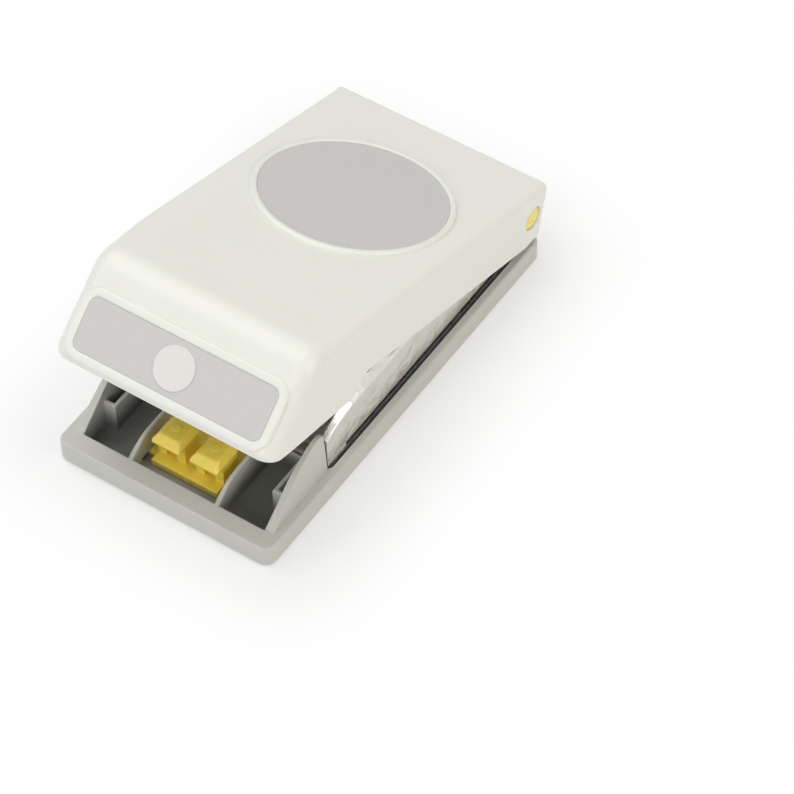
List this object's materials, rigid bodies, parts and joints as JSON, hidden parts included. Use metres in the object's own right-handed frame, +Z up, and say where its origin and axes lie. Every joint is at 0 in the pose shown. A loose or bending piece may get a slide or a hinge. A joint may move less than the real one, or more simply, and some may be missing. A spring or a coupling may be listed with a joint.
{
  "type": "circle craft punch",
  "caption": "Hand-lever craft punch with a raised off-white lever, grey base tray, polished steel cutter frame over a paper slot, and a yellow slide that locks the lever down.",
  "frame": {"origin": "middle of the whole punch's footprint, on the table under the rubber feet", "axes": "+X to the right of someone who presses the lever, +Y to the back, where the lever's pivot is, +Z up"},
  "size_m": [0.0694, 0.135, 0.0597],
  "materials": {
    "lever_plastic": "moulded warm white plastic with a fine satin face and softly rounded edges",
    "base_plastic": "moulded light grey plastic, satin",
    "label_grey": "flat light grey film, matt",
    "badge_white": "plain near-white film, matt",
    "yellow_plastic": "moulded clear yellow plastic, half gloss",
    "cast_metal": "die-cast zinc, polished, with faint flow marks",
    "tool_steel": "ground tool steel",
    "arm_steel": "pressed sheet steel, zinc plated",
    "screw_steel": "bright plated steel",
    "foot_rubber": "dark grey rubber, matt"
  },
  "bodies": {
    "base": {"base_tray": "base_plastic", "foot_1": "foot_rubber", "foot_2": "foot_rubber", "foot_3": "foot_rubber", "foot_4": "foot_rubber", "die_plate": "tool_steel", "throat_spacer": "cast_metal", "guide_housing": "cast_metal", "frame_screw_left": "screw_steel", "frame_screw_right": "screw_steel", "die_screw_left": "screw_steel", "die_screw_right": "screw_steel", "pivot_pin": "screw_steel", "pivot_washer_left": "screw_steel", "pivot_washer_right": "screw_steel", "cutter_spring_1": "screw_steel", "cutter_spring_2": "screw_steel", "cutter_spring_3": "screw_steel", "cutter_spring_4": "screw_steel"},
    "lever": {"lever_shell": "lever_plastic", "top_label": "label_grey", "front_label": "label_grey", "front_badge": "badge_white", "pivot_cap_left": "yellow_plastic", "pivot_cap_right": "yellow_plastic", "lever_arm": "arm_steel", "press_bar": "tool_steel", "press_bar_screw_left": "screw_steel", "press_bar_screw_right": "screw_steel", "arm_screw_1": "screw_steel", "arm_screw_2": "screw_steel", "arm_screw_3": "screw_steel", "arm_screw_4": "screw_steel"},
    "cutter": {"cutter": "tool_steel", "pressure_plate": "arm_steel", "cutter_screw_1": "screw_steel", "cutter_screw_2": "screw_steel", "cutter_screw_3": "screw_steel", "cutter_screw_4": "screw_steel"},
    "lock": {"lock_slider": "yellow_plastic"}
  },
  "joints": [
    {"name": "lever_hinge", "type": "hinge", "parent": "base", "child": "lever", "pos_m": [0, 0.05906, 0.0193], "axis": [1, 0, 0], "range_deg": [0, 12]},
    {"name": "cutter_slide", "type": "slide", "parent": "base", "child": "cutter", "axis": [0, 0, -1], "range_m": [0, 0.00832], "stiffness_N_per_m": 1800, "springref_m": -0.006, "deforming": ["cutter_spring_1", "cutter_spring_2", "cutter_spring_3", "cutter_spring_4"]},
    {"name": "lock_slide", "type": "slide", "parent": "base", "child": "lock", "axis": [0, -1, 0], "range_m": [0, 0.003]}
  ],
  "couplings": [
    {"joint": "cutter_slide", "follows": "lever_hinge", "m_per_rad": 0.0395}
  ]
}
